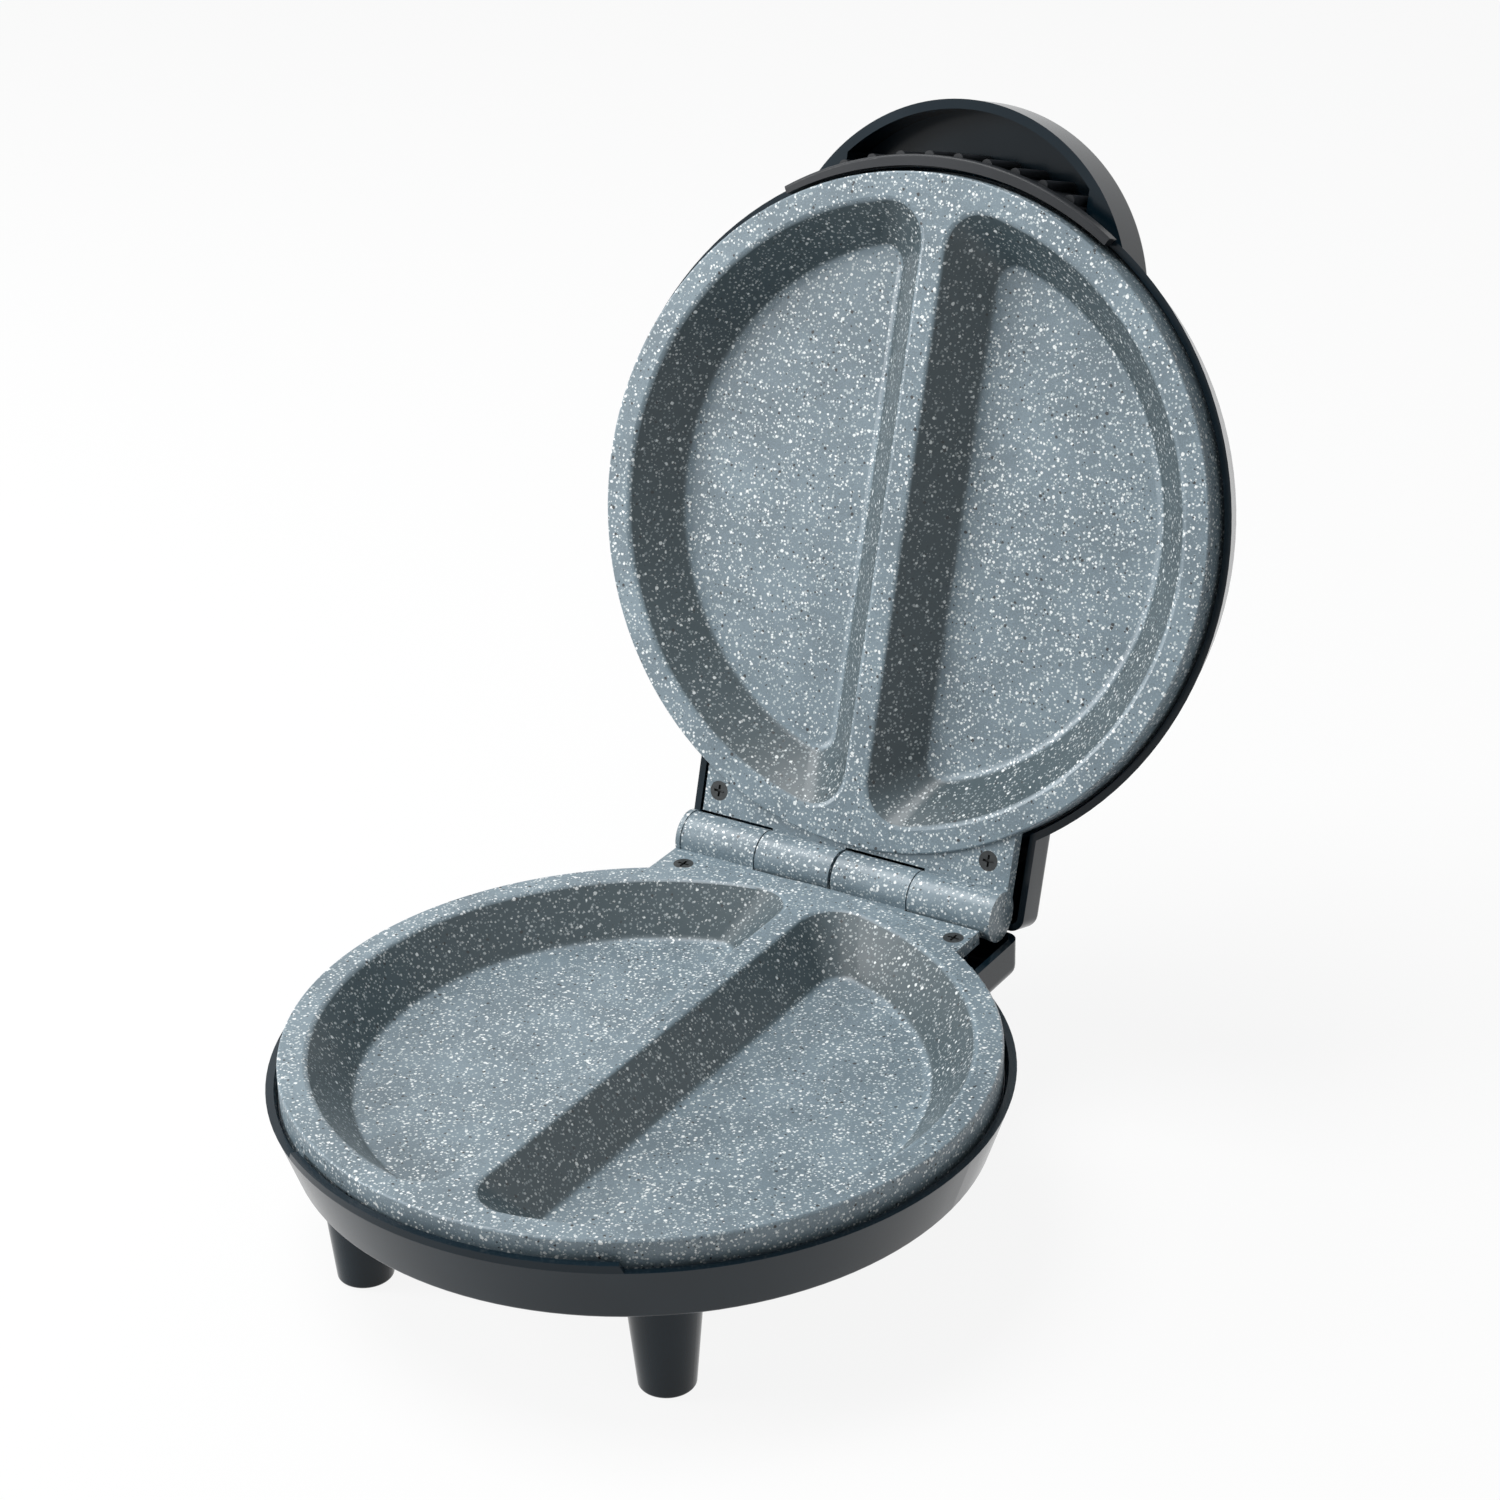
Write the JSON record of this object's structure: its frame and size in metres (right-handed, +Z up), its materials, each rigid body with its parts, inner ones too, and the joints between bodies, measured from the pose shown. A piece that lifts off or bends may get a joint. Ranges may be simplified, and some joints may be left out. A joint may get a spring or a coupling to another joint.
{
  "type": "electric omelette maker",
  "caption": "Tabletop omelette cooker: round hinged shells on legs, cast plates with D-shaped pockets and a front handle with a finger guard, standing open.",
  "frame": {"origin": "middle of the open cooker's footprint, on the table", "axes": "+Z up, -Y the front (handle side with the lid down), +Y the hinge side, +X the cook's right hand"},
  "size_m": [0.1968, 0.2925, 0.2598],
  "materials": {
    "stone_coating": "grey-blue stone-look non-stick coating with white and black flecks",
    "black_shell": "gloss black",
    "black_matt": "satin black",
    "black_steel": "black oxide",
    "zinc_steel": "zinc plated",
    "heater_steel": "dull sheath",
    "reflector_sheet": "bright sheet",
    "control_metal": "bright",
    "white_nylon": "plain",
    "blue_lead": "silicone",
    "brown_lead": "silicone",
    "green_lead": "silicone",
    "white_lead": "glass sleeve",
    "rubber": "matt",
    "red_lens": "clear red",
    "green_lens": "clear green",
    "lamp_glass": "clear"
  },
  "bodies": {
    "base": {"base_housing": "black_shell", "bottom_cover": "black_matt", "cover_screws": "zinc_steel", "leg_screws": "zinc_steel", "lower_plate": "stone_coating", "lower_plate_screw_left": "black_steel", "lower_plate_screw_right": "black_steel", "hinge_pin": "zinc_steel", "lower_element": "heater_steel", "lower_element_clips": "zinc_steel", "lower_clip_screws": "zinc_steel", "lower_reflector": "reflector_sheet", "lower_reflector_screws": "zinc_steel", "lower_thermostat": "control_metal", "thermal_fuse": "control_metal", "terminal_block": "white_nylon", "neutral_wire": "blue_lead", "live_wire": "brown_lead", "link_wire": "brown_lead", "heater_wire": "white_lead", "earth_wire": "green_lead", "cord_bush": "rubber", "leg_front_left": "black_shell", "leg_pad_front_left": "rubber", "leg_front_right": "black_shell", "leg_pad_front_right": "rubber", "leg_rear_left": "black_shell", "leg_pad_rear_left": "rubber", "leg_rear_right": "black_shell", "leg_pad_rear_right": "rubber"},
    "lid": {"lid_housing": "black_shell", "lid_handle": "black_shell", "handle_screw_left": "zinc_steel", "handle_screw_right": "zinc_steel", "finger_guard": "black_matt", "upper_plate": "stone_coating", "upper_plate_screw_left": "black_steel", "upper_plate_screw_right": "black_steel", "upper_element": "heater_steel", "upper_element_clips": "zinc_steel", "upper_clip_screws": "zinc_steel", "upper_reflector": "reflector_sheet", "upper_reflector_screws": "zinc_steel", "upper_thermostat": "control_metal", "lamp_lens_left": "red_lens", "lamp_lens_right": "green_lens", "lamp_left": "lamp_glass", "lamp_right": "lamp_glass", "lamp_bracket": "black_matt", "lamp_wire_left": "white_lead", "lamp_wire_right": "white_lead"}
  },
  "joints": [
    {"name": "lid_hinge", "type": "hinge", "parent": "base", "child": "lid", "pos_m": [0, 0.05555, 0.05425], "axis": [1, 0, 0], "range_deg": [0, 107]}
  ]
}
